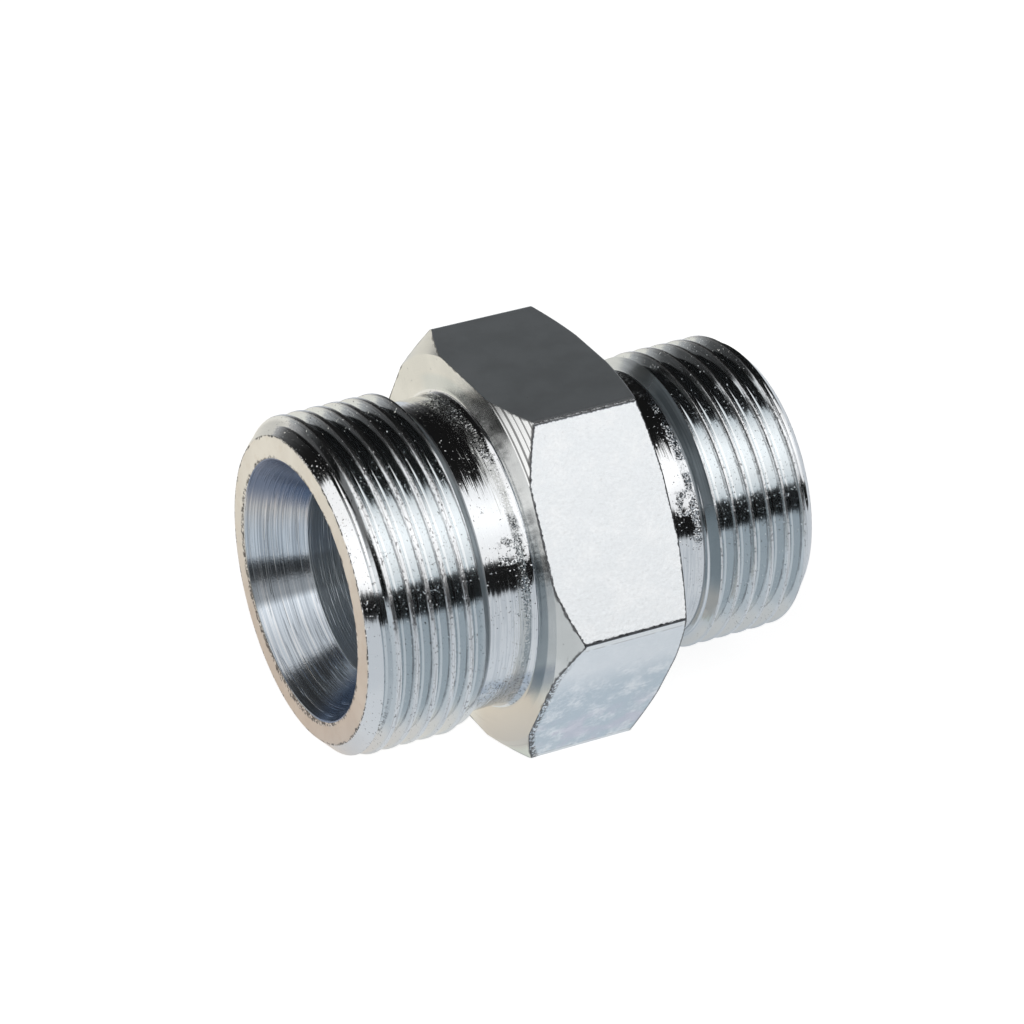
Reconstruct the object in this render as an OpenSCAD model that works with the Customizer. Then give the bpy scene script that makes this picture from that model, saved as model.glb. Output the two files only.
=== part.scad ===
// Straight pipe coupling with a large and a small threaded end. It is turned
// from one length of hexagon bar: the bar's own flats are left between the two
// ends as the spanner hexagon, and one bore runs right through.
// The coupling lies on a flat of its hexagon with its axis along X, the large
// end towards -X. The origin is on the axis, midway between the two end faces.
// The threaded stretches are plain at their crest diameter.
// All lengths are in millimetres and all angles in degrees.

/* [Hexagon] */
// Size across the flats of the hexagon
hex_af = 29.9; // [28.5:0.1:34]
// Width of the hexagon from shoulder to shoulder
hex_w = 11; // [9:0.1:20]
// Diameter of the flat shoulder at the large end, outside which the corners are bevelled
large_shoulder_d = 30.9; // [28.5:0.1:33]
// Slope of the corner bevel at the large end, away from the shoulder's plane
large_bevel_a = 40; // [15:1:45]
// Diameter of the flat shoulder at the small end, outside which the corners are bevelled
small_shoulder_d = 30.3; // [28.5:0.1:33]
// Slope of the corner bevel at the small end, away from the shoulder's plane
small_bevel_a = 22; // [15:1:45]

/* [Large end] */
// Length from the end face to the hexagon's shoulder
large_l = 14.1; // [11.5:0.1:25]
// Diameter over the thread's crests
large_thread_d = 26.9; // [25.6:0.1:28.4]
// Length from the end face to the end of the last full crest
large_thread_l = 9.1; // [5:0.1:11.5]
// Height of the 45 degree chamfer at the end face
large_chamfer = 1.25; // [0.5:0.05:1.6]
// Length of the slope from the last crest down to the neck
large_runout_l = 0.9; // [0.4:0.05:1.5]
// Diameter of the neck between the thread and the shoulder
large_neck_d = 24.7; // [22:0.1:25.4]
// Diameter of the mouth of the cone seat in the end face
large_mouth_d = 20.6; // [17:0.1:22.5]

/* [Small end] */
// Length from the end face to the hexagon's shoulder
small_l = 14.1; // [11.5:0.1:25]
// Diameter over the thread's crests
small_thread_d = 23.85; // [22.6:0.05:25.4]
// Length from the end face to the end of the last full crest
small_thread_l = 9.05; // [5:0.05:11.5]
// Height of the 45 degree chamfer at the end face
small_chamfer = 1.3; // [0.5:0.05:1.6]
// Length of the slope from the last crest down to the neck
small_runout_l = 0.65; // [0.4:0.05:1.5]
// Diameter of the neck between the thread and the shoulder
small_neck_d = 21.7; // [19.5:0.1:22.4]
// Diameter of the mouth of the cone seat in the end face
small_mouth_d = 17.4; // [16.6:0.1:19]

/* [Bore and fillets] */
// Diameter of the through bore
bore_d = 15.6; // [10:0.1:16.4]
// Full angle of the cone seat at each end of the bore
seat_a = 60; // [45:1:90]
// Radius of the fillet where each neck meets its shoulder
neck_fillet_r = 0.45; // [0.2:0.05:1.2]

/* [Hidden] */

// A circle with this many sides is taken as round
round_fn = 96;
// How far cutting shapes run past the surfaces that they cut
overrun = 1;

// Radius at the hexagon's corners
hex_corner_r = hex_af / 2 / cos(30);
// The turned outline stays clear of the corners between the two bevels
outline_r = hex_corner_r + overrun;
total_l = large_l + hex_w + small_l;

// Half of the outline of one end, from its end face to its shoulder, as
// [radius, distance from the end face]. The fillet is a quarter circle that
// leaves the neck along the axis and meets the shoulder square to it.
function end_outline(l, thread_d, thread_l, chamfer, runout_l, neck_d, shoulder_d) =
    let (neck_r = neck_d / 2, fillet_y = l - neck_fillet_r, steps = 8)
    concat(
        [
            [0, 0],
            [thread_d / 2 - chamfer, 0],
            [thread_d / 2, chamfer],
            [thread_d / 2, thread_l],
            [neck_r, thread_l + runout_l]
        ],
        [
            for (i = [0 : steps])
                [
                    neck_r + neck_fillet_r * (1 - cos(90 * i / steps)),
                    fillet_y + neck_fillet_r * sin(90 * i / steps)
                ]
        ],
        [[shoulder_d / 2, l]]
    );

// The same outline seen from the other end, with its points in the order that
// carries on from the first end
function from_other_end(points) =
    [for (i = [len(points) - 1 : -1 : 0]) [points[i][0], total_l - points[i][1]]];

// Everything that the lathe leaves outside: both ends, both shoulders and the
// bevels that take the corners off the bar
module turned_outline() {
    large_points = end_outline(large_l, large_thread_d, large_thread_l, large_chamfer,
        large_runout_l, large_neck_d, large_shoulder_d);
    small_points = end_outline(small_l, small_thread_d, small_thread_l, small_chamfer,
        small_runout_l, small_neck_d, small_shoulder_d);
    large_bevel_y = large_l + (outline_r - large_shoulder_d / 2) * tan(large_bevel_a);
    small_bevel_y = total_l - small_l - (outline_r - small_shoulder_d / 2) * tan(small_bevel_a);
    rotate_extrude($fn = round_fn)
        polygon(concat(
            large_points,
            [[outline_r, large_bevel_y], [outline_r, small_bevel_y]],
            from_other_end(small_points)
        ));
}

// The bar that the coupling is turned from, a little longer than the coupling
module hexagon_bar() {
    translate([0, 0, -overrun])
        rotate([0, 0, 30])
            cylinder(r = hex_corner_r, h = total_l + 2 * overrun, $fn = 6);
}

// The through bore with a cone seat at each end, as one cutting shape. Each
// cone carries on at its own slope past the end face.
module bore_and_seats() {
    slope = tan(seat_a / 2);
    large_seat_l = (large_mouth_d - bore_d) / 2 / slope;
    small_seat_l = (small_mouth_d - bore_d) / 2 / slope;
    rotate_extrude($fn = round_fn)
        polygon([
            [0, -overrun],
            [large_mouth_d / 2 + overrun * slope, -overrun],
            [bore_d / 2, large_seat_l],
            [bore_d / 2, total_l - small_seat_l],
            [small_mouth_d / 2 + overrun * slope, total_l + overrun],
            [0, total_l + overrun]
        ]);
}

// The whole coupling, one piece of metal
module coupling_body() {
    color("silver")
        rotate([0, 90, 0])
            translate([0, 0, -total_l / 2])
                difference() {
                    intersection() {
                        hexagon_bar();
                        turned_outline();
                    }
                    bore_and_seats();
                }
}

coupling_body();
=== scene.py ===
# %% [markdown]
# # A straight pipe coupling in zinc-plated steel
# The real object is one piece of metal. A lathe turns both ends of a hexagon bar, cuts a thread on
# each, drills the bar through and opens the bore with a cone at each end. Then it is zinc plated.
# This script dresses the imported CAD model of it: the body gets its real threads, and each surface
# gets the finish that its tool left.

import math

import bmesh
import bpy
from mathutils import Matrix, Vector


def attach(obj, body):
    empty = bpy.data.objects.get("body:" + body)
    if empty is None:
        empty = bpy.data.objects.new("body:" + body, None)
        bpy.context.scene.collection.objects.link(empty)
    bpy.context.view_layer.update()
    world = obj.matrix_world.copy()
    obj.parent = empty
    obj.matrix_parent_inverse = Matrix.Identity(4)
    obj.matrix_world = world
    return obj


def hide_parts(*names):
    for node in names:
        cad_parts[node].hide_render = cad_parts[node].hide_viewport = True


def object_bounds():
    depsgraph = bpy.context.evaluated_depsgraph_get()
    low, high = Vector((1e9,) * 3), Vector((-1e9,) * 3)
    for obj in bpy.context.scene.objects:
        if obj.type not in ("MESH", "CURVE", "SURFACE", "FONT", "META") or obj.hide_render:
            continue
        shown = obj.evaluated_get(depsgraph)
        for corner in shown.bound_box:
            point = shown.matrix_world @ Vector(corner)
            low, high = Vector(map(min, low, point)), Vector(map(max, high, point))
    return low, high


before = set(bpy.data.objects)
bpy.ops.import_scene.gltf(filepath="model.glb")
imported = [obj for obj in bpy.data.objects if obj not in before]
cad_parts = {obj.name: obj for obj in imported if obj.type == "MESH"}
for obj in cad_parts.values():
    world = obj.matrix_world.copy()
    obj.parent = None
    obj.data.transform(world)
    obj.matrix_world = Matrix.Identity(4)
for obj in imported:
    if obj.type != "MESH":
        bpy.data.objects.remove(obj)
cad_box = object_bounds()
cad_size_mm = [round((high - low) * 1000, 2) for low, high in zip(*cad_box)]
print("CAD box in mm:", cad_size_mm)

# %% [markdown]
# ## The camera
# The photograph was matched by measuring circles, edges and thread crests in it, which gave the
# place and the tilt of the camera. A long lens from about a third of a metre is what keeps the two
# ends of the coupling nearly the same size.

# %% Camera
LENS_MM = 145.11
SENSOR_MM = 36.0
CAMERA_PLACE = (-0.12922, -0.24783, 0.16219)
CAMERA_TURN_DEG = (60.1554, -0.1169, -27.2297)

bpy.ops.object.camera_add(location=CAMERA_PLACE, rotation=[math.radians(a) for a in CAMERA_TURN_DEG])
camera = bpy.context.active_object
camera.name = "camera"
camera.data.lens = LENS_MM
camera.data.sensor_width = SENSOR_MM
camera.data.clip_start = 0.01
camera.data.clip_end = 20.0
bpy.context.scene.camera = camera
print("camera elevation:", round(90 - CAMERA_TURN_DEG[0], 1), "degrees")

# %% [markdown]
# ## Helpers for nodes
# Materials and the world are graphs of nodes. These helpers keep the cells short: one adds a node
# and fills in its inputs, and the others are short ways to write arithmetic. Most finishes are built
# from masks, which are values between 0 and 1 that say where a mark is. Masks are multiplied to keep
# a mark where all of them agree.

# %% Node helpers
def add_node(tree, kind, inputs=None, **settings):
    """Adds a node, sets its options, and joins or fills in its inputs by name or number."""
    node = tree.nodes.new(kind)
    for key, value in settings.items():
        setattr(node, key, value)
    for key, value in (inputs or {}).items():
        if isinstance(value, bpy.types.NodeSocket):
            tree.links.new(value, node.inputs[key])
        else:
            node.inputs[key].default_value = value
    return node


def calc(tree, operation, *values):
    """One Math node. Returns its output."""
    return add_node(tree, "ShaderNodeMath", dict(enumerate(values)), operation=operation).outputs[0]


def times(tree, *values):
    """Multiplies values or masks."""
    product = values[0]
    for value in values[1:]:
        product = calc(tree, "MULTIPLY", product, value)
    return product


def vector(tree, operation, *values, scale=None):
    """One Vector Math node. Returns its vector."""
    inputs = dict(enumerate(values))
    if scale is not None:
        inputs["Scale"] = scale
    return add_node(tree, "ShaderNodeVectorMath", inputs, operation=operation).outputs["Vector"]


def mixed(tree, amount, colour_a, colour_b):
    """Mixes two colours, given with their fourth number or as the output of a node."""
    inputs = {0: amount, 6: colour_a, 7: colour_b}
    return add_node(tree, "ShaderNodeMix", inputs, data_type="RGBA").outputs[2]


def rise(tree, value, start, end, low=0.0, high=1.0):
    """Goes smoothly from low to high while the value goes from start to end."""
    inputs = {"Value": value, "From Min": start, "From Max": end, "To Min": low, "To Max": high}
    return add_node(tree, "ShaderNodeMapRange", inputs, interpolation_type="SMOOTHSTEP").outputs[0]


# %% [markdown]
# ## The studio
# Bright metal has hardly any colour of its own: it shows the room. The room in the photograph can be
# read off the necks, which mirror it as stripes. There is a wide soft light overhead, which reaches
# from straight above the coupling towards the camera, a pale wall low down at the back, and darkness
# in between. Soft-edged areas in the world itself are used for this instead of lamps, because they
# give the same stripes from every side and can't show up as a hard spot. Each area is a direction,
# and how far a ray points that way says how bright it is.

# %% World light
FRONT = (-0.48, -0.87, 0.0)
BACK = (0.398, 0.917, 0.0)
BACK_EDGE = (-0.057, 0.299, 0.953)
LEFT_EDGE = (0.101, -0.229, 0.968)
ACROSS_LIGHT = (0, -0.786, -0.618)
LIGHT_LEVEL = 1.04
LIGHT_GLOW = 0.26
WALL_DIM = 0.09
WALL_BRIGHT = 0.42
DARK_LEVEL = 0.008

world = bpy.data.worlds.new("studio")
bpy.context.scene.world = world
world.use_nodes = True
studio = world.node_tree
studio.nodes.clear()
direction = add_node(studio, "ShaderNodeTexCoord").outputs["Generated"]


def facing(tree, towards):
    """How far a direction points towards another one: 1 straight at it, 0 square to it."""
    inputs = {0: direction, 1: Vector(towards).normalized()}
    return add_node(tree, "ShaderNodeVectorMath", inputs, operation="DOT_PRODUCT").outputs["Value"]


in_front = rise(studio, facing(studio, FRONT), -0.012, 0.03)
over_edge = rise(studio, facing(studio, BACK_EDGE), -0.01, 0.02)
left_edge = rise(studio, facing(studio, LEFT_EDGE), -0.01, 0.02)
overhead = times(studio, in_front, over_edge, left_edge)
height = facing(studio, (0, 0, 1))
at_back = rise(studio, facing(studio, BACK), 0.1, 0.25)
dim_wall = rise(studio, height, 0.44, 0.08, 0.0, WALL_DIM)
bright_wall = rise(studio, height, 0.16, -0.02, 0.0, WALL_BRIGHT)
wall = times(studio, calc(studio, "ADD", dim_wall, bright_wall), at_back)
off_middle = calc(studio, "ABSOLUTE", facing(studio, ACROSS_LIGHT))
light = rise(studio, off_middle, 0.42, 0.0, LIGHT_LEVEL, LIGHT_LEVEL + LIGHT_GLOW)
level = calc(studio, "MULTIPLY_ADD", overhead, light, DARK_LEVEL)
level = calc(studio, "ADD", wall, level)
camera_ray = add_node(studio, "ShaderNodeLightPath").outputs["Is Camera Ray"]
level = calc(studio, "MAXIMUM", level, camera_ray)
sky = add_node(studio, "ShaderNodeBackground", {"Color": (1, 1, 1, 1), "Strength": level})
add_node(studio, "ShaderNodeOutputWorld", {"Surface": sky.outputs[0]})
bpy.context.scene.view_settings.view_transform = "Standard"
print("studio nodes:", len(studio.nodes))

# %% [markdown]
# ## The floor
# The coupling lies on a white light table. To the camera the table is as white as the photograph's
# background, with the soft shadow that the coupling leaves on it. What the metal mirrors of it is
# more telling, and there its glow carries painted light and shade: cool grey in front, painted warm
# cream light behind the large end, where the end face and the shoulder look, a brighter painted pool
# of light close behind the hexagon, a darker peach painted shade just behind the large end, and
# darkness where the table ends, towards the left and the front.

# %% Floor
FLOOR_SIZE = 6.0
TABLE_MATT = 0.45
TABLE_SEEN = 0.84
TABLE_GLOW = 0.42
COOL_WHITE = (0.92, 1.00, 1.08, 1)
# painted warm light and shade in the table's glow: cream behind the large end, a brighter pool close behind
# the hexagon, peach shade just behind the large end
WARM_LIGHT_CREAM = (1.56, 1.48, 1.28, 1)
LIGHT_POOL_CREAM = (1.95, 1.84, 1.60, 1)
SHADED_PEACH = (1.12, 0.90, 0.72, 1)
SHADE_SPOT = (-0.020, 0.005, 0)
TABLE_LEFT = -0.125
TABLE_FRONT = -0.20
TABLE_BACK = 0.12

bpy.ops.mesh.primitive_plane_add(size=FLOOR_SIZE, location=(0, 0, cad_box[0].z))
floor = bpy.context.active_object
floor.name = "floor"
table = bpy.data.materials.new("light_table")
table.use_nodes = True
tree = table.node_tree
tree.nodes.clear()
seen = add_node(tree, "ShaderNodeLightPath").outputs["Is Camera Ray"]
spot = add_node(tree, "ShaderNodeTexCoord").outputs["Object"]
spot_x, spot_y, _ = add_node(tree, "ShaderNodeSeparateXYZ", {0: spot}).outputs
within = rise(tree, spot_x, TABLE_LEFT - 0.01, TABLE_LEFT + 0.01)
within = calc(tree, "MAXIMUM", within, rise(tree, spot_y, TABLE_BACK, TABLE_BACK + 0.08))
within = times(tree, within, rise(tree, spot_y, TABLE_FRONT - 0.1, TABLE_FRONT + 0.06))
behind = times(tree, rise(tree, spot_y, -0.012, 0.006), rise(tree, spot_x, 0.010, -0.006))
# painted shade: peach close round this spot, cream further off
far_off = {0: spot, 1: SHADE_SPOT}
far_off = add_node(tree, "ShaderNodeVectorMath", far_off, operation="DISTANCE").outputs["Value"]
out_of_shade = calc(tree, "MAXIMUM", rise(tree, far_off, 0.012, 0.042), rise(tree, spot_x, -0.019, -0.013))
warm_light = mixed(tree, out_of_shade, SHADED_PEACH, WARM_LIGHT_CREAM)
# painted pool of light close behind the hexagon
light_pool = times(tree, rise(tree, spot_x, -0.018, -0.012), rise(tree, spot_y, 0.022, 0.010))
warm_light = mixed(tree, light_pool, warm_light, LIGHT_POOL_CREAM)
tint = mixed(tree, behind, COOL_WHITE, warm_light)
tint = mixed(tree, seen, tint, (1, 1, 1, 1))
shine = times(tree, within, TABLE_GLOW)
strength = calc(tree, "MAXIMUM", shine, times(tree, seen, TABLE_SEEN))
glow = add_node(tree, "ShaderNodeEmission", {"Color": tint, "Strength": strength})
lit = times(tree, calc(tree, "MAXIMUM", within, seen), TABLE_MATT)
matt = add_node(tree, "ShaderNodeBsdfDiffuse", {"Color": lit})
both = add_node(tree, "ShaderNodeAddShader", {0: matt.outputs[0], 1: glow.outputs[0]})
add_node(tree, "ShaderNodeOutputMaterial", {"Surface": both.outputs[0]})
floor.data.materials.append(table)
print("floor at", round(cad_box[0].z * 1000, 2), "mm")

# %% [markdown]
# ## The sizes
# These are the CAD model's sizes, in millimetres, measured along the axis from the large end face.
# Only the fillet is a little larger here, and the edges of the end faces are broken. Each outline is
# a list of [distance from the end face, radius], as a lathe would follow it: end face, chamfer,
# crests, slope down to the neck, fillet, shoulder and the bevel on the bar's corners.

# %% Sizes
LENGTH = 39.2
HEX_AF = 29.9
BORE_R = 7.8
SEAT_SLOPE = math.tan(math.radians(30))
CLEAR_R = 18.3
FILLET_R = 0.6
FILLET_STEPS = 8
EDGE_BREAK = 0.05
SHOULDER = 14.1
LARGE_END = {
    "mouth_r": 10.3, "face_r": 12.2, "crest_r": 13.45, "crest_end": 9.1,
    "neck_start": 10.0, "neck_r": 12.35, "shoulder_r": 15.45, "bevel_deg": 40,
}
SMALL_END = {
    "mouth_r": 8.7, "face_r": 10.625, "crest_r": 11.925, "crest_end": 9.05,
    "neck_start": 9.7, "neck_r": 10.85, "shoulder_r": 15.15, "bevel_deg": 22,
}


def end_outline(mouth_r, face_r, crest_r, crest_end, neck_start, neck_r, shoulder_r, bevel_deg):
    """The outline of one end, from the mouth of its cone out to the bevel."""
    points = [(0, mouth_r + 2 * EDGE_BREAK), (0, face_r - EDGE_BREAK), (EDGE_BREAK, face_r)]
    points += [(crest_r - face_r, crest_r), (crest_end, crest_r), (neck_start, neck_r)]
    for step in range(FILLET_STEPS + 1):
        turn = math.radians(90 * step / FILLET_STEPS)
        rim = (SHOULDER + FILLET_R * (math.sin(turn) - 1), neck_r + FILLET_R * (1 - math.cos(turn)))
        points.append(rim)
    bevel = (CLEAR_R - shoulder_r) * math.tan(math.radians(bevel_deg))
    return points + [(SHOULDER, shoulder_r), (SHOULDER + bevel, CLEAR_R)]


small_outline = end_outline(**SMALL_END)
bore = []
for mouth_r, start, way in ((SMALL_END["mouth_r"], LENGTH, -1), (LARGE_END["mouth_r"], 0, 1)):
    depth = (mouth_r - BORE_R) / SEAT_SLOPE
    bore_edge = (start + way * depth, BORE_R)
    mouth = (start + way * EDGE_BREAK, mouth_r)
    bore += [mouth, bore_edge] if way < 0 else [bore_edge, mouth]
outline = end_outline(**LARGE_END)
outline += [(LENGTH - place, radius) for place, radius in reversed(small_outline)] + bore
print("outline points:", len(outline))

# %% [markdown]
# ## Turning the body
# A lathe makes every surface round one axis, so the body grows as a rim that is extruded and scaled
# from point to point of the outline. It starts as a circle at the mouth and ends where it started,
# which makes a closed ring of metal with the bore inside. Everything is modelled with one unit to
# the millimetre, because cuts and small edges come out cleaner at that size, and shrunk at the end.

# %% Lathe
SIDES = 240
QUARTER = math.pi / 2


def pick(piece):
    """Makes one object the only selected one."""
    bpy.ops.object.select_all(action="DESELECT")
    piece.select_set(True)
    bpy.context.view_layer.objects.active = piece


def edit(select="SELECT"):
    """Opens the picked object for editing with all of it, or none of it, selected."""
    bpy.ops.object.mode_set(mode="EDIT")
    bpy.ops.mesh.select_mode(type="VERT")
    bpy.ops.mesh.select_all(action=select)


def turn_on_lathe(name, points):
    """Extrudes and scales one rim along a closed outline."""
    place, radius = points[0]
    bpy.ops.object.select_all(action="DESELECT")
    bpy.ops.mesh.primitive_circle_add(
        vertices=SIDES, radius=radius, location=(place, 0, 0), rotation=(0, QUARTER, 0)
    )
    piece = bpy.context.active_object
    piece.name = name
    bpy.ops.object.transform_apply(location=True, rotation=True, scale=False)
    edit()
    for next_place, next_radius in points[1:] + points[:1]:
        step = {"value": (next_place - place, 0, 0)}
        bpy.ops.mesh.extrude_edges_move(TRANSFORM_OT_translate=step)
        growth = next_radius / radius
        bpy.ops.transform.resize(value=(1, growth, growth), center_override=(0, 0, 0))
        place, radius = next_place, next_radius
    bpy.ops.mesh.select_all(action="SELECT")
    bpy.ops.mesh.remove_doubles(threshold=0.0005)
    bpy.ops.mesh.normals_make_consistent(inside=False)
    bpy.ops.object.mode_set(mode="OBJECT")
    print(name, "turned:", len(piece.data.polygons), "faces")
    return piece


coupling = turn_on_lathe("coupling", outline)

# %% [markdown]
# ## The hexagon
# The hexagon isn't added to the body: it is what is left of the bar. So a six-sided bar is placed
# over the turned shape and only what both share is kept. The flats then run out into the two bevels
# in the curves that every bevelled nut and bolt head has, without one of them being drawn.

# %% Hexagon bar
CORNER_W = 0.3


def edit_kept_edges():
    """Opens the picked object for editing with the edges that are marked in it."""
    bpy.ops.object.mode_set(mode="EDIT")
    bpy.ops.mesh.select_mode(type="EDGE")


def cut_with(piece, tool, operation):
    """Applies a Boolean with a tool and throws the tool away."""
    pick(piece)
    cut = piece.modifiers.new("cut", "BOOLEAN")
    cut.operation = operation
    cut.object = tool
    cut.solver = "EXACT"
    bpy.ops.object.modifier_apply(modifier=cut.name)
    bpy.data.objects.remove(tool)
    solid = bmesh.new()
    solid.from_mesh(piece.data)
    print(piece.name, operation.lower(), "leaves", round(solid.calc_volume(), 1), "mm3")
    solid.free()


bpy.ops.object.select_all(action="DESELECT")
bpy.ops.mesh.primitive_cylinder_add(
    vertices=6,
    radius=HEX_AF / 2 / math.cos(math.pi / 6),
    depth=2 * LENGTH,
    location=(LENGTH / 2, 0, 0),
    rotation=(0, QUARTER, 0),
)
bar = bpy.context.active_object
bpy.ops.object.transform_apply(location=True, rotation=True, scale=False)
edit()
if max(abs(corner.co.z) for corner in bar.data.vertices) > HEX_AF / 2 + 0.1:
    bpy.ops.transform.rotate(value=math.pi / 6, orient_axis="X", center_override=(0, 0, 0))
bpy.ops.object.mode_set(mode="OBJECT")
for edge in bar.data.edges:
    ends = [bar.data.vertices[index].co.x for index in edge.vertices]
    edge.select = abs(ends[0] - ends[1]) > LENGTH
edit_kept_edges()
bpy.ops.mesh.bevel(offset=CORNER_W, segments=3, affect="EDGES")
bpy.ops.object.mode_set(mode="OBJECT")
cut_with(coupling, bar, "INTERSECT")

# %% [markdown]
# ## The threads
# A thread is one V-shaped groove that winds round the blank. So its cutter is one V, wound into a coil
# that is a little longer than the thread and taken away from the blank. The groove then runs out in
# the chamfer and over the neck in the same way as on the real part. The sides of the V stand at 60
# degrees to each other, and light that falls on one side leaves by the other, which is where the
# thread's pattern of stripes comes from. The floor is round, and one edge of each crest is worn.

# %% Section of the groove
PITCH = 1.5
FLANK_SLOPE = math.tan(math.radians(30))
ROOT_R = 0.144 * PITCH
CAMERA_SIDE_DEG = 147.15
COIL_TURNS = 9
OFF_STEP_DEG = 0.41
TOP_GAP = 0.1
ROOT_STEPS = 8


def first_crest(crest_place, start):
    """Where the first crest after start crosses the +Y side. crest_place is one seen by the camera."""
    place = crest_place - PITCH * CAMERA_SIDE_DEG / 360
    return place - PITCH * math.floor((place - start) / PITCH)


def groove_profile(crest_w, worn):
    """A section of the cutter as [across, depth]. worn is how much of the crest's edge is gone."""
    half_w = (PITCH - crest_w) / 2
    half_root = ROOT_R * math.sqrt(3) / 2
    centre = (half_w - half_root) / FLANK_SLOPE - ROOT_R / 2
    profile = [(half_w + worn * 0.65, -TOP_GAP), (half_w + worn * 0.65, 0)]
    profile += [(half_w, worn * 0.3), (half_w - worn * 0.5, worn * 0.92)]
    for step in range(ROOT_STEPS + 1):
        swing = math.radians(60 - 120 * step / ROOT_STEPS)
        profile.append((ROOT_R * math.sin(swing), centre + ROOT_R * math.cos(swing)))
    return profile + [(-half_w + 0.02, 0.06), (-half_w - 0.02, 0), (-half_w - 0.02, -TOP_GAP)]


print("depth of the groove:", round(max(depth for _, depth in groove_profile(0.30, 0.15)), 2), "mm")

# %% [markdown]
# The section is drawn point by point, filled, and wound by the Screw modifier. Its open ends are
# closed. A Boolean goes wrong where edges of both bodies nearly agree, and here both are divided into
# the same steps round the axis, so the coil is turned by a fraction of a step.

# %% Thread cutter
def thread_cutter(name, first, crest_r, crest_w, worn):
    """A coil that cuts the groove into a blank of radius crest_r."""
    middle = first + PITCH / 2
    profile = groove_profile(crest_w, worn)
    across, depth = profile[0]
    bpy.ops.object.select_all(action="DESELECT")
    bpy.ops.mesh.primitive_plane_add(size=0.01, location=(middle + across, crest_r - depth, 0))
    piece = bpy.context.active_object
    piece.name = name
    bpy.ops.object.transform_apply(location=True, rotation=False, scale=False)
    edit()
    bpy.ops.mesh.merge(type="CENTER")
    for next_across, next_depth in profile[1:]:
        step = {"value": (next_across - across, depth - next_depth, 0)}
        bpy.ops.mesh.extrude_vertices_move(TRANSFORM_OT_translate=step)
        across, depth = next_across, next_depth
    bpy.ops.mesh.select_all(action="SELECT")
    bpy.ops.mesh.edge_face_add()
    bpy.ops.object.mode_set(mode="OBJECT")
    coil = piece.modifiers.new("coil", "SCREW")
    coil.axis = "X"
    coil.screw_offset = PITCH
    coil.iterations = COIL_TURNS
    coil.steps = SIDES
    coil.render_steps = SIDES
    bpy.ops.object.modifier_apply(modifier=coil.name)
    edit("DESELECT")
    bpy.ops.mesh.select_mode(type="EDGE")
    bpy.ops.mesh.select_non_manifold(extend=False)
    bpy.ops.mesh.fill_holes(sides=0)
    bpy.ops.mesh.select_all(action="SELECT")
    bpy.ops.mesh.normals_make_consistent(inside=False)
    off_step = -math.radians(OFF_STEP_DEG)
    bpy.ops.transform.rotate(value=off_step, orient_axis="X", center_override=(0, 0, 0))
    bpy.ops.object.mode_set(mode="OBJECT")
    places = [vertex.co.x for vertex in piece.data.vertices]
    print(name, "runs from", round(min(places), 2), "to", round(max(places), 2), "mm")
    return piece


LARGE_CREST = first_crest(crest_place=3.40, start=-2.2)
SMALL_CREST = first_crest(crest_place=30.26, start=26.8)
large_coil = thread_cutter("large_groove", LARGE_CREST, LARGE_END["crest_r"], crest_w=0.30, worn=0.15)
cut_with(coupling, large_coil, "DIFFERENCE")
small_coil = thread_cutter("small_groove", SMALL_CREST, SMALL_END["crest_r"], crest_w=0.18, worn=0.06)
cut_with(coupling, small_coil, "DIFFERENCE")

# %% [markdown]
# ## Smooth and sharp
# Turned surfaces have to look round although they are made of flat strips. Smooth shading blends the
# strips, an angle limit keeps real edges sharp, and weighted normals stop the small fillet faces
# from bending the reflection on the long neck beside them.

# %% Final size and shading
edit()
bpy.ops.transform.translate(value=(-LENGTH / 2, 0, 0))
bpy.ops.transform.resize(value=(0.001, 0.001, 0.001), center_override=(0, 0, 0))
bpy.ops.object.mode_set(mode="OBJECT")
bpy.ops.object.shade_smooth_by_angle(angle=math.radians(25))
weights = coupling.modifiers.new("weights", "WEIGHTED_NORMAL")
weights.keep_sharp = True
weights.weight = 80
bpy.ops.object.modifier_apply(modifier=weights.name)
print("triangles:", sum(len(face.vertices) - 2 for face in coupling.data.polygons))

# %% [markdown]
# ## Where a surface is
# Each finish needs to know where it is on the part, so that marks follow the tool that left them.
# These helpers work that out from the place alone: the distance along the axis, the radius and the
# direction round the axis. Nothing depends on where the camera is, so the marks stay where they are
# when the coupling is seen from another side.

# %% Place on the part
def new_finish(name):
    """An empty metal. Returns the material, its nodes and its shader."""
    made = bpy.data.materials.new(name)
    made.use_nodes = True
    shader = made.node_tree.nodes["Principled BSDF"]
    shader.inputs["Metallic"].default_value = 1.0
    return made, made.node_tree, shader


def place_on_part(tree):
    """The place in millimetres, the distance along the axis, the radius and the way outwards."""
    here = add_node(tree, "ShaderNodeTexCoord").outputs["Object"]
    place = vector(tree, "SCALE", here, scale=1000.0)
    x, y, z = add_node(tree, "ShaderNodeSeparateXYZ", {0: place}).outputs
    spoke = add_node(tree, "ShaderNodeCombineXYZ", {"Y": y, "Z": z}).outputs[0]
    radius = add_node(tree, "ShaderNodeVectorMath", {0: spoke}, operation="LENGTH").outputs["Value"]
    out = vector(tree, "NORMALIZE", spoke)
    along = calc(tree, "ADD", x, LENGTH / 2)
    _, out_y, out_z = add_node(tree, "ShaderNodeSeparateXYZ", {0: out}).outputs
    return {
        "place": place, "y": y, "z": z, "along": along, "radius": radius,
        "out": out, "out_y": out_y, "out_z": out_z,
    }


def turned_to(tree, at, degrees):
    """1 where the surface is on this side of the axis, counted from the camera's, and -1 opposite."""
    turn = math.radians(CAMERA_SIDE_DEG + degrees)
    side = times(tree, at["out_y"], math.cos(turn))
    return calc(tree, "MULTIPLY_ADD", at["out_z"], math.sin(turn), side)


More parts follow.
